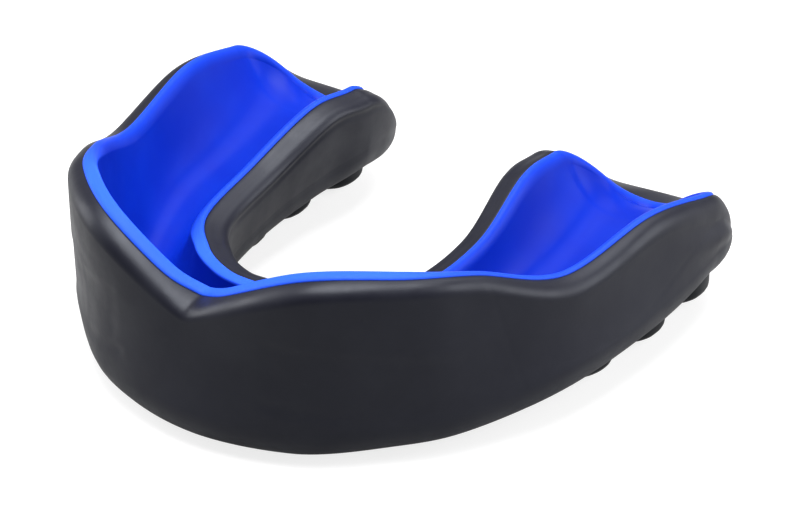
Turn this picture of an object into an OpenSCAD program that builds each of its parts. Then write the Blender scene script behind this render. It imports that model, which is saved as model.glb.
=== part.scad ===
// Boil-and-bite mouthguard: a black rubber outer shell that carries a soft blue gel liner
// and six bite pads. +Z is up, the front teeth face -Y, and the plane X = 0 is the mirror plane.
// The origin is at the middle of the footprint, on the plane that the pads stand on.

/* [Arch] */
// Width across the outer rims at the ends of the arms
arch_w = 62; // [56:1:68]
// Distance from the front rim to the last molars
arch_d = 48; // [43:1:53]
// Height of the outer rim beside the lip notch
rim_h = 20; // [18:0.5:23]
// Length of the rounded end of each arm, past the last molars
heel_l = 11.9; // [10.4:0.5:12.9]

/* [Shell] */
// Thickness of the outer wall at the front of its rim
outer_wall = 2; // [1.6:0.1:2.4]
// Thickness of the inner wall at its rim
inner_wall = 2.5; // [2:0.1:3]
// Height of the rounded lip along the front of the outer rim
lip_h = 1.5; // [1:0.25:2]
// Radius between the walls and the underside
foot_r = 4; // [3:0.25:4.5]

/* [Liner] */
// Thickness of the gel liner
liner_t = 2; // [1.5:0.1:2.5]
// Width of the liner's rim band at the front
band_w = 1.5; // [1.4:0.05:1.8]
// Height of the rim band above the shell at the front
band_proud = 0.3; // [0.1:0.1:0.6]
// Height from the underside of the shell to the floor of the tooth channel
floor_h = 5; // [4.5:0.25:6]

/* [Bite pads] */
// Length of each pad along the arm
pad_l = 8; // [7:0.2:8.4]
// Width of the front pad across the arm
pad_w = 12; // [10.6:0.2:12.4]
// Growth in width from one pad to the next
pad_growth = 0.7; // [0:0.1:0.8]
// Depth that each pad is let into the shell
pad_inlay = 1; // [0.5:0.1:1.4]

/* [Hidden] */
SIDES = [1, -1];
SIDE_NAMES = ["right", "left"];
ROW_NAMES = ["front", "middle", "rear"];

// Steps of the mesh along half the arch, round a heel, and down each part of the section
arch_steps = 24;
heel_steps = 12;
lip_steps = 4;
wall_steps = 4;
foot_steps = 4;
band_steps = 4;
channel_steps = 6;

kx = arch_w/62;
ky = arch_d/48;
kz = rim_h/20;

// Stations along the right half of the arch, from the front to the last molar:
// outer rim x y z, inner rim x y z, underside z, outer foot inset, inner foot inset, wall bulge,
// outer wall, outer lip height
STATIONS = [
    [ 0.0,  0.0, 15.0,  0.0, 14.5, 12.0, 0.0, -1.0, 1.0,  0.0, 2.0, 1.5],
    [12.0,  1.5, 20.0,  2.5, 14.5, 12.0, 0.0,  0.5, 1.0, -0.3, 2.0, 1.5],
    [20.3,  8.2, 20.0,  6.5, 17.0, 11.5, 0.5,  0.5, 0.5,  0.0, 1.6, 1.5],
    [24.2, 14.6, 18.7, 10.5, 22.0, 11.5, 1.0, -0.5, 1.0,  0.0, 1.5, 1.5],
    [28.5, 24.5, 15.1, 11.5, 31.0, 12.5, 2.5, -1.0, 1.0, -0.1, 2.0, 1.5],
    [30.5, 37.5, 16.5, 10.5, 40.0, 15.5, 3.5, -1.0, 1.5,  0.0, 1.7, 1.8],
    [31.0, 48.0, 14.5, 10.0, 46.5, 15.0, 4.5, -0.5, 0.5,  0.5, 1.2, 2.4]
];
last = len(STATIONS) - 1;
kw = outer_wall/2;
kl = lip_h/1.5;
inner_lip_h = 1.2;

// Heel: height of its rim, its underside, its rim thickness, its foot radius, and the powers of
// its rounded outline and of the start of its lip
heel_rim_z = 8.2*kz;
heel_base_z = 3*kz;
heel_wall = 5;
heel_foot_r = 3.2*kz;
heel_power = 2.1;
heel_lip_power = 1.4;

// The notch for the lip frenum is a crease with this softness, in stations, and a thicker wall
notch_soft = 0.05;
notch_wall = 1;
// The liner's rim band at the arms: how much narrower and prouder it is than at the front
band_loss = 0.1;
band_gain = 0.2;
// How far a band falls from its crest to its inner edge: at the front, the arms and the heels
band_fall = 0.4;
arm_fall = 1.2;
heel_fall = 0.3;
// How steeply the tooth channel's walls stand: 1 is a plain V
channel_power = 3;
// Distance from the front rim back to the origin
origin_y = 29.125*ky;

// Bite pads on an arm: centre x, centre y, heading of the arm, and underside z of the shell there
PADS = [[21.7, 33.5, 80, 3], [22.2, 42, 88, 3.8], [21.8, 51, 92, 4.2]];
pad_power = 2.4;
pad_sides = 32;

// ---- Smooth curve through the stations ----

function blend4(a, b, c, d, u) =
    0.5*(2*b + (c - a)*u + (2*a - 5*b + 4*c - d)*u*u + (3*b - a - 3*c + d)*u*u*u);

function curve_at(knots, t) =
    let (i = min(floor(t), len(knots) - 4))
    blend4(knots[i], knots[i + 1], knots[i + 2], knots[i + 3], t - i);

function scaled(s) =
    [s[0]*kx, s[1]*ky, s[2]*kz, s[3]*kx, s[4]*ky, s[5]*kz, s[6]*kz, s[7], s[8], s[9],
     s[10]*kw, s[11]*kl];
function mirrored(s) = [for (i = [0:len(s) - 1]) i == 0 || i == 3 ? -s[i] : s[i]];

// Both rims leave the last station side by side
function side_by_side(s) =
    [for (i = [0:len(s) - 1])
        i == 0 || i == 3 ? (s[0] + s[3])/2 : i == 1 || i == 4 ? (s[1] + s[4])/2 : s[i]];

ROWS = [for (s = STATIONS) scaled(s)];
AFTER = [ROWS[last - 1] + 2*side_by_side(ROWS[last] - ROWS[last - 1])];
SMOOTH = concat([mirrored(ROWS[1])], ROWS, AFTER);
CREASED = concat([2*ROWS[0] - ROWS[1]], ROWS, AFTER);

function base_z(s) = max(s[6], 0);
function crease_t(t) = sqrt(t*t + notch_soft*notch_soft) - notch_soft;

// Rises smoothly from 0 at low to 1 at high
function ramp(v, low, high) = let (u = min(max((v - low)/(high - low), 0), 1)) u*u*(3 - 2*u);
function powered(v, p) = sign(v)*pow(abs(v), 2/p);

// ---- Posts: one for each step round the closed rim ----
// A post is [rim point, middle point, rim z, underside z, foot inset, bulge, wall, lip height,
// heel share, inner share, middle underside z, index of the middle point]

function outer_post(i) =
    let (t = last*i/arch_steps, s = curve_at(SMOOTH, t))
    [[s[0], s[1]], [(s[0] + s[3])/2, (s[1] + s[4])/2], curve_at(CREASED, crease_t(t))[2],
     base_z(s), s[7], s[9], s[10], s[11], 0, 0, base_z(s), arch_steps + i];

function inner_post(i) =
    let (t = last*i/arch_steps, s = curve_at(SMOOTH, t))
    [[s[3], s[4]], [(s[0] + s[3])/2, (s[1] + s[4])/2], s[5], base_z(s), s[8], 0, inner_wall,
     inner_lip_h, 0, 1, base_z(s), arch_steps + i];

// The heel turns from the outer rim to the inner rim about the last middle point
function heel_post(i) =
    let (a = 180*i/heel_steps, o = outer_post(arch_steps), n = inner_post(arch_steps),
         before = outer_post(arch_steps - 2),
         along = (o[1] - before[1])/norm(o[1] - before[1]),
         side = (1 + cos(a))/2, fall = pow(sin(a), 1.3), share = ramp(sin(a), 0.1, 0.85))
    [o[1] + powered(cos(a), heel_power)*(o[0] - o[1]) + powered(sin(a), heel_power)*heel_l*along,
     o[1], (o[2]*side + n[2]*(1 - side))*(1 - fall) + heel_rim_z*fall,
     o[3]*(1 - fall) + heel_base_z*fall, (o[4]*side + n[4]*(1 - side))*(1 - share),
     o[5]*side*pow(1 - share, 3), o[6]*side + n[6]*(1 - side), o[7]*side + n[7]*(1 - side),
     share, 1 - side, o[3], 2*arch_steps];

function flipped(p) = [for (i = [0:len(p) - 1])
    i < 2 ? [-p[i][0], p[i][1]] : i == 11 ? 2*arch_steps - p[i] : p[i]];

RIGHT = concat(
    [for (i = [0:arch_steps]) outer_post(i)],
    [for (i = [1:heel_steps - 1]) heel_post(i)],
    [for (i = [arch_steps:-1:0]) inner_post(i)]);
POSTS = concat(RIGHT, [for (i = [len(RIGHT) - 2:-1:1]) flipped(RIGHT[i])]);
count = len(POSTS);

// Middle points of the arch from the left heel to the right heel, at a height above the underside
function middle_line(h) =
    [for (i = [-arch_steps:arch_steps])
        let (p = outer_post(abs(i))) placed(sign(i + 0.5)*p[1][0], p[1][1], p[3] + h)];

function placed(x, y, z) = [x, y - origin_y, z];

// ---- Section of the guard at a post ----

// How far back along the arch a post stands: 0 at the notch, and the last station at the heel
function station(p) = abs(p[11] - arch_steps)*last/arch_steps;
function notch(p) = (1 - p[9])*exp(-pow(station(p)/0.2, 2));
function rim_wall(p) = p[6]*(1 - p[8]) + heel_wall*p[8] + notch_wall*notch(p);
function foot_radius(p) = foot_r*(1 - p[8]) + heel_foot_r*p[8];
function lip_height(p) = p[7]*(1 - p[8]) + (p[2] - p[3] - foot_radius(p))*p[8];

// A point at a distance from the rim point towards the middle point
function inward(p, d, z) =
    let (q = p[0] + (p[1] - p[0])/norm(p[1] - p[0])*d) placed(q[0], q[1], z);

function seam_point(p) = inward(p, rim_wall(p), p[2]);

// Outside of the shell: over the lip, down the wall and round the foot
function shell_side(p) =
    let (w = rim_wall(p), h = lip_height(p), r = foot_radius(p), power = 2*(1 - p[8]) + heel_lip_power*p[8],
         wall_top = p[2] - h, wall_foot = p[3] + r)
    concat(
        [for (i = [1:lip_steps])
            let (a = 90*i/lip_steps)
            inward(p, w*(1 - powered(sin(a), power)), p[2] - h*(1 - cos(a)))],
        [for (i = [1:wall_steps])
            let (f = i/wall_steps)
            inward(p, p[4]*pow(f, 1.5) - p[5]*pow(sin(180*f), 2),
                   wall_top*(1 - f) + wall_foot*f)],
        [for (i = [1:foot_steps])
            let (a = 90*i/foot_steps)
            inward(p, p[4] + r*(1 - cos(a)), p[3] + r*(1 - sin(a)))]);

// A channel wall that falls from a point on the rim to the middle of the channel's floor
function channel_side(p, d, top, bottom, first) =
    let (reach = norm(p[1] - p[0]))
    [for (i = [first:channel_steps - 1])
        let (f = i/channel_steps)
        inward(p, d*(1 - f) + reach*f, bottom + (top - bottom)*pow(1 - f, channel_power))];

function bed_side(p) = channel_side(p, rim_wall(p), p[2], p[10] + floor_h - liner_t, 1);

// The rim band, flat at the front and round at the arms, and then the tooth channel
function liner_side(p) =
    let (w = rim_wall(p), arm = ramp(station(p), 1.8, 3.2), width = band_w - band_loss*arm,
         proud = band_proud + band_gain*arm,
         fall = (band_fall*(1 - arm) + arm_fall*arm)*(1 - p[8]) + heel_fall*p[8])
    concat(
        [for (i = [1:band_steps - 1])
            let (u = (1 - cos(180*i/band_steps))/2, flat_edge = 1 - pow(1 - pow(u, 6), 1/6),
                 rise = sqrt(1 - pow(1 - min(2*width*u, 1), 2)))
            inward(p, w + width*u, p[2] + proud*rise - fall*(flat_edge*(1 - arm) + pow(u, 3)*arm))],
        channel_side(p, w + width, p[2] + proud - fall, p[10] + floor_h, 0));

// ---- Closed surface between two skins that meet along the seam ----

// Index of point k below the seam point of post j, in a skin of n points to a post
function at(start, n, j, k) = k == 0 ? j : start + j*n + k - 1;

function quad(a, b, c, d, up) = up ? [[a, d, c], [a, c, b]] : [[a, b, c], [a, c, d]];
function tri(a, b, c, up) = up ? [a, c, b] : [a, b, c];

function skin_faces(start, n, middle, up) =
    [for (j = [0:count - 1])
        let (m = (j + 1)%count, a = POSTS[j][11], b = POSTS[m][11])
        each concat(
            [for (k = [0:n - 1])
                each quad(at(start, n, j, k), at(start, n, m, k), at(start, n, m, k + 1),
                          at(start, n, j, k + 1), up)],
            a == b ? [tri(at(start, n, j, n), at(start, n, m, n), middle + a, up)]
                   : quad(at(start, n, j, n), at(start, n, m, n), middle + b, middle + a, up))];

// lower is the skin that faces down and out, upper the skin that faces up
module closed_skins(lower, lower_middle, upper, upper_middle) {
    n = len(lower[0]);
    m = len(upper[0]);
    second = count*(1 + n);
    middles = second + count*m;
    polyhedron(
        points = concat([for (p = POSTS) seam_point(p)],
                        [for (side = lower) each side], [for (side = upper) each side],
                        lower_middle, upper_middle),
        faces = concat(skin_faces(count, n, middles, false),
                       skin_faces(second, m, middles + len(lower_middle), true)),
        convexity = 8);
}

// ---- Bite pads ----

function pad_outline(length, width) =
    [for (i = [0:pad_sides - 1])
        let (a = 360*i/pad_sides)
        [powered(cos(a), pad_power)*length/2, powered(sin(a), pad_power)*width/2]];

module bite_pad(row, side) {
    pad = PADS[row];
    placing = placed(side*pad[0]*kx, pad[1]*ky, 0);
    translate(placing)
        rotate([0, 0, side > 0 ? pad[2] : 180 - pad[2]])
            linear_extrude(height = pad[3]*kz + pad_inlay)
                polygon(pad_outline(pad_l, pad_w + row*pad_growth));
}

// ---- Sub-parts ----

module outer_shell() {
    color("#1b1c1e")
        difference() {
            closed_skins([for (p = POSTS) shell_side(p)], middle_line(0),
                         [for (p = POSTS) bed_side(p)], middle_line(floor_h - liner_t));
            for (side = SIDES, row = [0:len(PADS) - 1])
                bite_pad(row, side);
        }
}

module inner_liner() {
    color("#1238e6")
        closed_skins([for (p = POSTS) bed_side(p)], middle_line(floor_h - liner_t),
                     [for (p = POSTS) liner_side(p)], middle_line(floor_h));
}

module bite_pad_node(row, side) {
    color("#2a2b2d")
        bite_pad(row, side);
}

outer_shell();
inner_liner();
for (s = [0:1], row = [0:2])
    bite_pad_node(row, SIDES[s]);
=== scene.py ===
import math
import bpy
import numpy as np
from mathutils import Matrix, Vector


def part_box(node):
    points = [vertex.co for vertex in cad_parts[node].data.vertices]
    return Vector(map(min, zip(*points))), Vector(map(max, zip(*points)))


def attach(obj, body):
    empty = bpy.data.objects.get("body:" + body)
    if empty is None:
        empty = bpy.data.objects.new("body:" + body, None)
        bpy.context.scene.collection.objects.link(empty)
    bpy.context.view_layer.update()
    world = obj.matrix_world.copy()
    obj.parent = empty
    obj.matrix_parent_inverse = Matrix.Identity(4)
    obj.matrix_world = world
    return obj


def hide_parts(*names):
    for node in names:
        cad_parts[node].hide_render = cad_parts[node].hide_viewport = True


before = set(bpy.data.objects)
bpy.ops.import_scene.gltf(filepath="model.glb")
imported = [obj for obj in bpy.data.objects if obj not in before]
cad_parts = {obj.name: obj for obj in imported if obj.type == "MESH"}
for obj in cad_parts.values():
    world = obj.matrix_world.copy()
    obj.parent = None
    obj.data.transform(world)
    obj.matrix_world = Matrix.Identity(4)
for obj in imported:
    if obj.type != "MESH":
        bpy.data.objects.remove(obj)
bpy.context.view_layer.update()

# Lengths are in millimetres until add_piece() turns them into the frame's metres.
MM = 0.001
SIDES = {"right": 1, "left": -1}


# ======== Driving sizes, as in the CAD source ========

# Width, depth and height of the shell that the stations below make
STATION_SPAN = (63.4, 60.15, 20.4)
shell_low, shell_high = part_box("outer_shell")
KX, KY, KZ = [(high - low)/MM/span for low, high, span in zip(shell_low, shell_high, STATION_SPAN)]

# Stations along the right half of the arch, from the front to the last molar:
# outer rim x y z, inner rim x y z, underside z, outer foot inset, inner foot inset, wall bulge,
# outer wall, outer lip height
STATIONS = np.array([
    [0.0, 0.0, 15.0, 0.0, 14.5, 12.0, 0.0, -1.0, 1.0, 0.0, 2.0, 1.5],
    [12.0, 1.5, 20.0, 2.5, 14.5, 12.0, 0.0, 0.5, 1.0, -0.3, 2.0, 1.5],
    [20.3, 8.2, 20.0, 6.5, 17.0, 11.5, 0.5, 0.5, 0.5, 0.0, 1.6, 1.5],
    [24.2, 14.6, 18.7, 10.5, 22.0, 11.5, 1.0, -0.5, 1.0, 0.0, 1.5, 1.5],
    [28.5, 24.5, 15.1, 11.5, 31.0, 12.5, 2.5, -1.0, 1.0, -0.1, 2.0, 1.5],
    [30.5, 37.5, 16.5, 10.5, 40.0, 15.5, 3.5, -1.0, 1.5, 0.0, 1.7, 1.8],
    [31.0, 48.0, 14.5, 10.0, 46.5, 15.0, 4.5, -0.5, 0.5, 0.5, 1.2, 2.4],
])
STATION_SCALE = np.array([KX, KY, KZ, KX, KY, KZ, KZ, 1, 1, 1, 1, 1])
MIRROR_X = np.array([-1, 1, 1, -1, 1, 1, 1, 1, 1, 1, 1, 1])
LAST = len(STATIONS) - 1
ORIGIN_Y = 29.125*KY

ARCH_STEPS = 240
HEEL_STEPS = 96
NOTCH_SOFT = 0.05

INNER_WALL = 2.5
NOTCH_WALL = 1.0
INNER_LIP_H = 1.2
LIP_POWER = 2.0
FOOT_R = 4.0
HEEL_L = 11.9
HEEL_RIM_Z = 8.2*KZ
HEEL_BASE_Z = 3.0*KZ
HEEL_WALL = 5.0
HEEL_FOOT_R = 3.2*KZ
HEEL_POWER = 2.1
HEEL_LIP_POWER = 1.4

LINER_T = 2.0
BAND_W = 1.5
BAND_LOSS = 0.1
BAND_PROUD = 0.3
BAND_FALL = 0.4
ARM_FALL = 1.2
HEEL_FALL = 0.3
FLOOR_H = 5.0
CHANNEL_POWER = 3.0
# Between the liner and the shell's bed, so that the two skins don't coincide
BED_GAP = 0.05

# Moulded details of the shell
GROOVE_DEPTH = 0.1
PANEL_H = 6.7
PANEL_DEPTH = 0.1
CREASE_DEPTH = 0.16
PARTING_DEPTH = 0.02
INNER_CREASE_DEPTH = 0.1

# Heading of each arm at its pads, in degrees
PAD_HEADING = {"front": 80, "middle": 88, "rear": 92}
PAD_L = 8.0
PAD_W = {"front": 12.0, "middle": 12.7, "rear": 13.4}
PAD_POWER = 2.4
PAD_EDGE = 2.0
PAD_HOLLOW = 0.12
PAD_POINTS = 72


# ======== The closed rim: a row of posts ========

def bump(x, centre, width):
    return np.exp(-((x - centre)/width)**2)


def ramp(x, low, high):
    """Rises smoothly from 0 at low to 1 at high."""
    u = np.clip((x - low)/(high - low), 0, 1)
    return u*u*(3 - 2*u)


def blend(a, b, c, d, u):
    return 0.5*(2*b + (c - a)*u + (2*a - 5*b + 4*c - d)*u**2 + (3*b - a - 3*c + d)*u**3)


def curve_at(knots, t):
    """The smooth curve through all knots but the first and last, which is at knot 1 where t is 0."""
    i = np.minimum(np.floor(t).astype(int), len(knots) - 4)
    return blend(knots[i], knots[i + 1], knots[i + 2], knots[i + 3], (t - i)[:, None])


def powered(v, power):
    return np.sign(v)*np.abs(v)**(2/power)


def posts(rim, middle, *values):
    """One row for each step of a stretch of rim: rim point, middle point and ten values."""
    columns = [np.broadcast_to(v, len(rim)) for v in values]
    return np.column_stack([rim, middle, *columns])


def half_rim():
    """The right half: outer rim from the front, round the heel, and inner rim back to the front."""
    rows = STATIONS*STATION_SCALE
    step = rows[LAST] - rows[LAST - 1]
    # Both rims leave the last station side by side
    step[[0, 3]] = step[[0, 3]].mean()
    step[[1, 4]] = step[[1, 4]].mean()
    after = rows[LAST - 1] + 2*step
    t = np.linspace(0, LAST, ARCH_STEPS + 1)
    s = curve_at(np.vstack([rows[1]*MIRROR_X, rows, after]), t)
    creased = np.vstack([2*rows[0] - rows[1], rows, after])
    top = curve_at(creased, np.sqrt(t**2 + NOTCH_SOFT**2) - NOTCH_SOFT)[:, 2]
    middle = (s[:, 0:2] + s[:, 3:5])/2
    base = np.maximum(s[:, 6], 0)
    index = ARCH_STEPS + np.arange(ARCH_STEPS + 1)
    outer = posts(s[:, 0:2], middle, top, base, s[:, 7], s[:, 9], s[:, 10], s[:, 11], 0, 0, base, index)
    inner = posts(s[:, 3:5], middle, s[:, 5], base, s[:, 8], 0, INNER_WALL, INNER_LIP_H, 0, 1, base, index)

    a = np.linspace(0, np.pi, HEEL_STEPS + 1)[1:-1]
    centre = middle[-1]
    along = centre - middle[-1 - ARCH_STEPS//12]
    along = along/np.linalg.norm(along)
    side = (1 + np.cos(a))/2
    fall = np.sin(a)**1.3
    share = ramp(np.sin(a), 0.1, 0.85)
    rim = (centre + np.outer(powered(np.cos(a), HEEL_POWER), s[-1, 0:2] - centre)
           + np.outer(powered(np.sin(a), HEEL_POWER), HEEL_L*along))
    nose = posts(rim, np.tile(centre, (len(a), 1)),
                 (top[-1]*side + s[-1, 5]*(1 - side))*(1 - fall) + HEEL_RIM_Z*fall,
                 base[-1]*(1 - fall) + HEEL_BASE_Z*fall,
                 (s[-1, 7]*side + s[-1, 8]*(1 - side))*(1 - share),
                 s[-1, 9]*side*(1 - share)**3, s[-1, 10]*side + INNER_WALL*(1 - side),
                 s[-1, 11]*side + INNER_LIP_H*(1 - side), share, 1 - side,
                 base[-1], 2*ARCH_STEPS)
    return np.vstack([outer, nose, inner[::-1]])


def whole_rim():
    """Both halves, with the distance of each post from the notch along the rim as a last column."""
    right = half_rim()
    steps = np.linalg.norm(np.diff(right[:, 0:2], axis=0), axis=1)
    right = np.column_stack([right, np.append(0, np.cumsum(steps))])
    left = right[-2:0:-1].copy()
    left[:, [0, 2]] *= -1
    left[:, 13] = 2*ARCH_STEPS - left[:, 13]
    return np.vstack([right, left])


RIM = whole_rim()
COUNT = len(RIM)
XY, MIDDLE = RIM[:, 0:2], RIM[:, 2:4]
# One column for each value, so that a row of heights or depths can be worked out for every post
TOP, BASE, FOOT, BULGE, PLAIN_WALL, PLAIN_LIP, HEEL, INNER, MIDDLE_BASE = RIM[:, 4:13].T[:, :, None]
MIDDLE_INDEX = RIM[:, 13].astype(int)
TRAVEL = RIM[:, 14:15]
REACH = np.linalg.norm(MIDDLE - XY, axis=1)[:, None]
# How far back along the arch a post stands: 0 at the notch, LAST at the heel
STATION = np.abs(MIDDLE_INDEX - ARCH_STEPS)[:, None]*LAST/ARCH_STEPS
NOTCH = (1 - INNER)*bump(STATION, 0, 0.2)
ARM = ramp(STATION, 1.8, 3.2)
WALL = PLAIN_WALL*(1 - HEEL) + HEEL_WALL*HEEL + NOTCH_WALL*NOTCH
FOOT_ROUND = FOOT_R*(1 - HEEL) + HEEL_FOOT_R*HEEL
LIP = PLAIN_LIP*(1 - HEEL) + (TOP - BASE - FOOT_ROUND)*HEEL
BED_BOTTOM = MIDDLE_BASE + FLOOR_H - LINER_T
CHANNEL_BOTTOM = MIDDLE_BASE + FLOOR_H


def spread(count, power):
    """Fractions from just above 0 to 1, closer together near 0."""
    return (np.arange(1, count + 1)/count)**power


# ======== Skins: one row of distances inward and heights for each post ========

LIP_ROWS = 24
WALL_ROWS = 36
FOOT_ROWS = 10
UNDER_ROWS = 5
BED_ROWS = 6
BAND_ROWS = 16
CHANNEL_ROWS = 44
# Shares of the way across the rim band
BAND_U = (1 - np.cos(np.linspace(0, np.pi, BAND_ROWS + 1)[1:]))/2


def shell_outside():
    """Over the lip, down the wall, round the foot and in along the underside."""
    turn = np.linspace(0, np.pi/2, LIP_ROWS + 1)[1:]
    power = LIP_POWER*(1 - HEEL) + HEEL_LIP_POWER*HEEL
    across = powered(np.sin(turn), power)
    lip_in = WALL*(1 - across)
    lip_z = TOP - LIP*(1 - np.cos(turn)) - lip_groove(across)
    f = spread(WALL_ROWS, 1.5)
    wall_in = FOOT*f**1.5 - BULGE*np.sin(np.pi*f)**2
    wall_z = (TOP - LIP)*(1 - f) + (BASE + FOOT_ROUND)*f
    turn = np.linspace(0, np.pi/2, FOOT_ROWS + 1)[1:]
    foot_in = FOOT + FOOT_ROUND*(1 - np.cos(turn))
    foot_z = BASE + FOOT_ROUND*(1 - np.sin(turn))
    f = spread(UNDER_ROWS + 1, 1)[:-1]
    under_in = (FOOT + FOOT_ROUND)*(1 - f) + REACH*f
    under_z = BASE*(1 - f) + MIDDLE_BASE*f
    depth = np.hstack([lip_in, wall_in, foot_in, under_in])
    height = np.hstack([lip_z, wall_z, foot_z, under_z])
    return depth + wall_relief(height), height


def lip_groove(across):
    """A shallow groove along the inner wall's lip; across is 0 at the seam and 1 at the outside."""
    return GROOVE_DEPTH*(1 - HEEL)*INNER*bump(across, 0.45, 0.2)


def wall_relief(z):
    """How far the moulded details sink into the wall, as a distance inward."""
    drop = TOP - z
    return (1 - HEEL)*(INNER*inner_relief(drop) + (1 - INNER)*outer_relief(z))


def outer_relief(z):
    """The sunk panel on the cheek with its crease, the parting line and the step above the foot."""
    panel_low = 8.5 - 0.14*TRAVEL
    panel_top = panel_low + PANEL_H
    panel = (ramp(TRAVEL, 8.2, 10.2)*ramp(z - panel_low, -0.4, 0.8)*(1 - ramp(z - panel_top, -0.6, 0.6))
             * (1 - ramp(TRAVEL, 24, 33)))
    crease = ramp(TRAVEL, 7.5, 9)*(1 - ramp(TRAVEL, 15, 25))*bump(z, panel_low - 0.3, 0.5)
    parting = bump(TRAVEL, 37 - 0.3*z, 0.3)
    step_z = 7.4 + 4.5*ramp(TRAVEL, 48, 64)
    step = ramp(TRAVEL, 34, 38)*(0.02*bump(z, step_z, 0.3) - 0.03*ramp(step_z - z, -0.4, 0.8))
    return PANEL_DEPTH*panel + CREASE_DEPTH*crease + PARTING_DEPTH*parting + step


def inner_relief(drop):
    """A fine crease just under the lip."""
    return INNER_CREASE_DEPTH*bump(drop, INNER_LIP_H + 0.4, 0.35)


def channel(start, top, bottom, fractions):
    """A channel wall that falls from a distance inward at the rim to the middle of the floor."""
    depth = start*(1 - fractions) + REACH*fractions
    height = bottom + (top - bottom)*(1 - fractions)**CHANNEL_POWER
    return depth, height


def shell_bed():
    return channel(WALL, TOP, BED_BOTTOM, spread(BED_ROWS + 1, 1)[:-1])


def liner_bed():
    depth, height = shell_bed()
    return depth, height + BED_GAP


def liner_top():
    """Up and over the rim band, flat at the front and round at the arms, and down the channel."""
    width = BAND_W - BAND_LOSS*ARM
    fall = (BAND_FALL*(1 - ARM) + ARM_FALL*ARM)*(1 - HEEL) + HEEL_FALL*HEEL
    rise = np.sqrt(1 - (1 - np.minimum(2*width*BAND_U, 1))**2)
    edge = (1 - (1 - BAND_U**6)**(1/6))*(1 - ARM) + BAND_U**3*ARM
    channel_in, channel_z = channel(WALL + width, TOP + BAND_PROUD - fall, CHANNEL_BOTTOM,
                                    spread(CHANNEL_ROWS + 1, 1.3)[:-1])
    depth = np.hstack([WALL + width*BAND_U, channel_in])
    height = np.hstack([TOP + BAND_PROUD*rise - fall*edge, channel_z])
    return depth, height


# ======== Meshes ========

def skin_points(skin):
    """The skin's points, as many to a post as the skin has rows."""
    depth, height = skin
    direction = (MIDDLE - XY)/REACH
    xy = XY[:, None, :] + depth[:, :, None]*direction[:, None, :]
    return np.dstack([xy, height]).reshape(-1, 3)


def middle_points(height):
    """The middle line of the arch from the left heel to the right heel, above the underside."""
    right = RIM[:ARCH_STEPS + 1]
    line = np.column_stack([right[:, 2:4], right[:, 12] + height])
    return np.vstack([line[:0:-1]*[-1, 1, 1], line])


def skin_faces(first, rows, middle, faces_up):
    """Quads from the seam to the skin's last row, then a strip on to the middle line."""
    post = np.arange(COUNT)
    here = np.column_stack([post, first + post[:, None]*rows + np.arange(rows)])
    there = np.roll(here, -1, axis=0)
    quads = np.dstack([here[:, :-1], there[:, :-1], there[:, 1:], here[:, 1:]]).reshape(-1, 4)
    strip = np.column_stack([here[:, -1], there[:, -1], middle + np.roll(MIDDLE_INDEX, -1),
                             middle + MIDDLE_INDEX])
    faces = np.vstack([quads, strip])
    if not faces_up:
        faces = faces[:, ::-1]
    # Round a heel the strip's two middle points are one point
    return [list(dict.fromkeys(face)) for face in faces.tolist()]


def closed_skins(lower, lower_middle, upper, upper_middle):
    """Points and faces of a solid between two skins that meet along the seam."""
    seam = skin_points((WALL, TOP))
    lower_points, upper_points = skin_points(lower), skin_points(upper)
    second = COUNT + len(lower_points)
    middles = second + len(upper_points)
    points = np.vstack([seam, lower_points, upper_points, lower_middle, upper_middle])
    faces = skin_faces(COUNT, lower[0].shape[1], middles, False)
    faces += skin_faces(second, upper[0].shape[1], middles + len(lower_middle), True)
    return points, faces


def add_piece(name, points, faces, material, node, fields=None):
    """A piece that stands for a CAD node. Fields are values at its points that its material reads."""
    mesh = bpy.data.meshes.new(name)
    mesh.from_pydata(((points - [0, ORIGIN_Y, 0])*MM).tolist(), [], faces)
    mesh.polygons.foreach_set("use_smooth", [True]*len(mesh.polygons))
    for field, values in (fields or {}).items():
        layer = mesh.attributes.new(field, "FLOAT", "POINT")
        layer.data.foreach_set("value", np.asarray(values, dtype=np.float32))
    mesh.materials.append(material)
    piece = bpy.data.objects.new(name, mesh)
    bpy.context.scene.collection.objects.link(piece)
    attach(piece, "root")
    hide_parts(node)
    return piece


# ======== Materials ========

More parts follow.
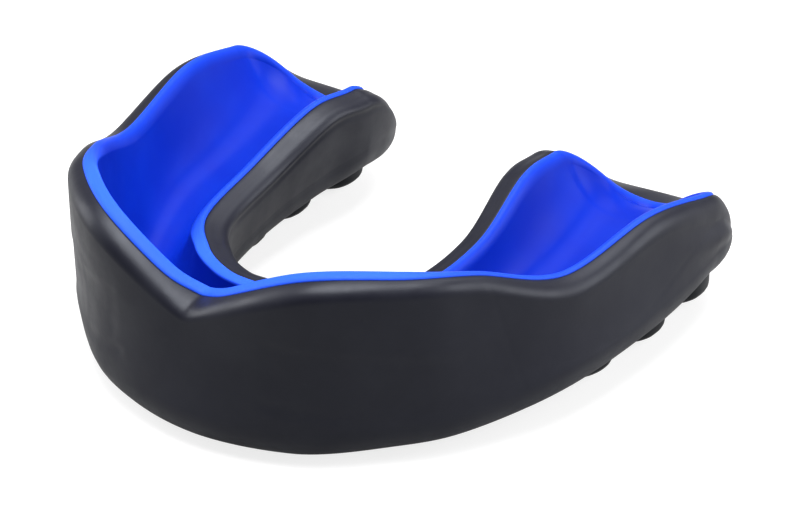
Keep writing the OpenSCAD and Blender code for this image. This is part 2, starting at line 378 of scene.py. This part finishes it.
class Nodes:
    """Adds and links the nodes of one material."""

    def __init__(self, name):
        self.material = bpy.data.materials.new(name)
        self.material.use_nodes = True
        self.tree = self.material.node_tree
        self.shader = self.tree.nodes["Principled BSDF"]

    def add(self, kind, inputs=None, **settings):
        node = self.tree.nodes.new(kind)
        for key, value in settings.items():
            setattr(node, key, value)
        for key, value in (inputs or {}).items():
            self.put(node.inputs[key], value)
        return node

    def put(self, socket, value):
        if isinstance(value, bpy.types.NodeSocket):
            self.tree.links.new(value, socket)
        else:
            socket.default_value = value

    def math(self, operation, *values):
        return self.add("ShaderNodeMath", dict(enumerate(values)), operation=operation).outputs[0]

    def noise(self, size, detail=3, roughness=0.5):
        """Noise from 0 to 1, with lumps of about a size in millimetres."""
        place = self.add("ShaderNodeTexCoord").outputs["Object"]
        inputs = {"Vector": place, "Scale": 1/(size*MM), "Detail": detail, "Roughness": roughness}
        return self.add("ShaderNodeTexNoise", inputs).outputs["Fac"]

    def field(self, name):
        return self.add("ShaderNodeAttribute", attribute_name=name).outputs["Fac"]

    def ramp(self, value, low, high, low_value=0.0, high_value=1.0):
        """Goes smoothly from one value to another as the input goes from low to high."""
        inputs = {"Value": value, "From Min": low, "From Max": high,
                  "To Min": low_value, "To Max": high_value}
        node = self.add("ShaderNodeMapRange", inputs, interpolation_type="SMOOTHSTEP")
        return node.outputs["Result"]

    def mix(self, factor, a, b):
        node = self.add("ShaderNodeMix", data_type="RGBA")
        self.put(node.inputs[0], factor)
        self.put(node.inputs[6], a)
        self.put(node.inputs[7], b)
        return node.outputs[2]

    def bumps(self, *layers):
        """Stacks bumps: each layer is a height from 0 to 1 and its size in millimetres."""
        normal = None
        for height, size in layers:
            node = self.add("ShaderNodeBump", {"Height": height, "Strength": 1.0, "Distance": size*MM})
            if normal:
                self.put(node.inputs["Normal"], normal)
            normal = node.outputs["Normal"]
        self.put(self.shader.inputs["Normal"], normal)


def rubber(name, base, pale, roughness):
    """Black moulded rubber: satin, with a faint grey bloom, tiny pits and scuffs."""
    n = Nodes(name)
    bloom = n.ramp(n.noise(9, 4, 0.6), 0.35, 0.75)
    speck = n.ramp(n.noise(0.45, 2, 0.5), 0.66, 0.74)
    colour = n.mix(n.math("MULTIPLY", bloom, 0.5), base, pale)
    colour = n.mix(n.math("MULTIPLY", speck, 0.25), colour, pale)
    n.put(n.shader.inputs["Base Color"], colour)
    patchy = n.ramp(n.noise(4, 5, 0.6), 0.3, 0.7, roughness - 0.05, roughness + 0.06)
    n.put(n.shader.inputs["Roughness"], patchy)
    n.put(n.shader.inputs["Specular IOR Level"], 0.25)
    n.put(n.shader.inputs["Specular Tint"], (0.88, 0.92, 1, 1))
    n.bumps((n.noise(5, 2), 0.04), (n.noise(0.35, 3, 0.6), 0.006))
    return n.material


def gel(name):
    """Glossy blue gel: light enters it a little, and its rim band is duller and painted paler, a painted
    highlight where the band's top faces up to the light.
    """
    n = Nodes(name)
    rim = n.field("rim")
    cloudy = n.ramp(n.noise(7, 3), 0.3, 0.7)
    deep = n.mix(cloudy, (0.001, 0.014, 0.3, 1), (0.0012, 0.018, 0.33, 1))
    # Painted highlight: the colour is mixed paler by the rim field, where the rim band's top faces up to
    # the light
    n.put(n.shader.inputs["Base Color"], n.mix(rim, deep, (0.02, 0.085, 0.7, 1)))
    patchy = n.ramp(n.noise(3, 3), 0.3, 0.7, 0.32, 0.38)
    n.put(n.shader.inputs["Roughness"], n.math("ADD", patchy, n.math("MULTIPLY", rim, 0.15)))
    n.put(n.shader.inputs["IOR"], 1.4)
    n.put(n.shader.inputs["Specular IOR Level"], 0.09)
    n.put(n.shader.inputs["Subsurface Weight"], 0.15)
    n.put(n.shader.inputs["Subsurface Radius"], (0.2, 0.4, 1.0))
    n.put(n.shader.inputs["Subsurface Scale"], 0.6*MM)
    n.bumps((n.noise(6, 1), 0.03))
    return n.material


# ======== The pieces ========

shell_rubber = rubber("shell_rubber", (0.0062, 0.0064, 0.012, 1), (0.013, 0.0138, 0.021, 1), 0.42)
pad_rubber = rubber("pad_rubber", (0.006, 0.0065, 0.0085, 1), (0.014, 0.014, 0.016, 1), 0.44)
blue_gel = gel("blue_gel")


def add_shell():
    points, faces = closed_skins(shell_outside(), middle_points(0), shell_bed(),
                                 middle_points(FLOOR_H - LINER_T))
    return add_piece("shell_moulding", points, faces, shell_rubber, "outer_shell")


def add_liner():
    upper = liner_top()
    points, faces = closed_skins(liner_bed(), middle_points(FLOOR_H - LINER_T + BED_GAP), upper,
                                 middle_points(FLOOR_H))
    rows = upper[0].shape[1]
    # Painted highlight on the rim band's top: full across the band at the front, fading across it on the
    # arms; the gel also reads it as duller gloss
    band_painted_light = np.zeros((COUNT, rows))
    band_painted_light[:, :BAND_ROWS - 1] = 1 - ARM*(0.4 + 0.6*BAND_U[:-1])
    second = COUNT*(BED_ROWS + 1)
    rim = np.zeros(len(points))
    rim[:COUNT] = band_painted_light[:, 0]
    rim[second:second + COUNT*rows] = band_painted_light.ravel()
    return add_piece("gel_liner", points, faces, blue_gel, "inner_liner", {"rim": rim})


def add_pad(side, row):
    """A rounded stud, let into the underside of the shell."""
    node = f"bite_pad_{side}_{row}"
    low, high = [np.array(corner)/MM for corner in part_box(node)]
    centre = (low + high)/2
    turn = np.linspace(0, 2*np.pi, PAD_POINTS, endpoint=False)
    outline = np.column_stack([powered(np.cos(turn), PAD_POWER)*PAD_L/2,
                               powered(np.sin(turn), PAD_POWER)*PAD_W[row]/2])
    heading = math.radians(PAD_HEADING[row])
    cos, sin = math.cos(heading), math.sin(heading)
    outline = outline @ np.array([[cos, sin], [-sin, cos]])*[SIDES[side], 1]
    size = PAD_L/2
    flat = 1 - PAD_EDGE/size
    # The scale of the outline and the height of each ring: the bottom, the rounded edge, the top
    rings = [(flat*share, PAD_HOLLOW*(1 - share)) for share in (0.25, 0.5, 0.75)]
    for a in np.linspace(0, np.pi/2, 9):
        rings.append((1 - PAD_EDGE*(1 - math.sin(a))/size, PAD_EDGE*(1 - math.cos(a))))
    rings.append((1, high[2]))
    skin = [np.column_stack([outline*scale, np.full(PAD_POINTS, z)]) for scale, z in rings]
    points = np.vstack(skin + [[0, 0, PAD_HOLLOW], [0, 0, high[2]]])
    points[:, 0:2] += centre[0:2]
    points[:, 1] += ORIGIN_Y
    bottom, top = len(points) - 2, len(points) - 1
    last = (len(rings) - 1)*PAD_POINTS
    faces = []
    for i in range(PAD_POINTS):
        j = (i + 1) % PAD_POINTS
        faces.append([j, i, bottom])
        faces.append([last + i, last + j, top])
        for low_ring in range(0, last, PAD_POINTS):
            high_ring = low_ring + PAD_POINTS
            faces.append([low_ring + i, low_ring + j, high_ring + j, high_ring + i])
    if SIDES[side] < 0:
        faces = [face[::-1] for face in faces]
    return add_piece(f"bite_stud_{side}_{row}", points, faces, pad_rubber, node)


add_shell()
add_liner()
for side in SIDES:
    for row in PAD_HEADING:
        add_pad(side, row)


# ======== Floor, light and camera ========

def add_floor():
    """A pale floor just under the guard, which the camera sees nearly without shadows."""
    half, z = 1.5, -0.00005
    corners = [(-half, -half, z), (half, -half, z), (half, half, z), (-half, half, z)]
    mesh = bpy.data.meshes.new("floor")
    mesh.from_pydata(corners, [], [(0, 1, 2, 3)])
    n = Nodes("floor")
    n.put(n.shader.inputs["Base Color"], (0.25, 0.25, 0.25, 1))
    n.put(n.shader.inputs["Roughness"], 0.7)
    n.put(n.shader.inputs["Emission Color"], (1, 1, 1, 1))
    seen = n.add("ShaderNodeLightPath").outputs["Is Camera Ray"]
    n.put(n.shader.inputs["Emission Strength"], n.ramp(seen, 0, 1, 0.2, 0.8))
    mesh.materials.append(n.material)
    floor = bpy.data.objects.new("floor", mesh)
    bpy.context.scene.collection.objects.link(floor)


def add_softbox(name, place, aim, size, power):
    light = bpy.data.lights.new(name, "AREA")
    light.shape = "RECTANGLE"
    light.size, light.size_y = size
    light.energy = power
    lamp = bpy.data.objects.new(name, light)
    lamp.location = place
    lamp.rotation_euler = (Vector(aim) - Vector(place)).to_track_quat("-Z", "Y").to_euler()
    bpy.context.scene.collection.objects.link(lamp)


def add_world(strength):
    """A dim room, which the camera itself sees as plain white."""
    world = bpy.data.worlds.new("studio")
    world.use_nodes = True
    nodes, links = world.node_tree.nodes, world.node_tree.links
    background = nodes["Background"]
    background.inputs["Color"].default_value = (1, 1, 1, 1)
    seen = nodes.new("ShaderNodeLightPath").outputs["Is Camera Ray"]
    share = nodes.new("ShaderNodeMapRange")
    share.inputs["To Min"].default_value = strength
    links.new(seen, share.inputs["Value"])
    links.new(share.outputs["Result"], background.inputs["Strength"])
    bpy.context.scene.world = world


# The view: where the camera looks, how far it stands, and its angles in degrees
VIEW_TARGET = Vector((8.0, -5.1, 11.3))*MM
VIEW_DISTANCE = 334.7*MM
VIEW_AZIMUTH = 34.0
VIEW_ELEVATION = 30.06
VIEW_ROLL = 0.3
VIEW_LENS = 153.9


def add_camera():
    a, e, roll = [math.radians(v) for v in (VIEW_AZIMUTH, VIEW_ELEVATION, VIEW_ROLL)]
    back = Vector((math.sin(a)*math.cos(e), -math.cos(a)*math.cos(e), math.sin(e)))
    level = Vector((math.cos(a), math.sin(a), 0))
    up = back.cross(level)
    right = math.cos(roll)*level + math.sin(roll)*up
    up = back.cross(right)
    data = bpy.data.cameras.new("camera")
    data.lens = VIEW_LENS
    data.clip_start, data.clip_end = 0.01, 10
    camera = bpy.data.objects.new("camera", data)
    camera.matrix_world = Matrix((right, up, back)).transposed().to_4x4()
    camera.location = VIEW_TARGET + VIEW_DISTANCE*back
    bpy.context.scene.collection.objects.link(camera)
    bpy.context.scene.camera = camera


bpy.context.scene.view_settings.view_transform = "Standard"
add_floor()
add_world(0.3)
add_softbox("overhead", (0, 0, 0.6), (0, 0, 0), (0.45, 0.45), 8)
add_softbox("back", (-0.05, 0.4, 0.5), (0, 0, 0), (0.4, 0.3), 1)
add_softbox("left", (-0.6, -0.1, 0.25), (0, 0, 0), (0.3, 0.5), 3)
add_softbox("right", (0.55, 0.35, 0.3), (0.1, 0.1, 0), (0.5, 0.5), 4.5)
add_camera()

bpy.context.view_layer.update()
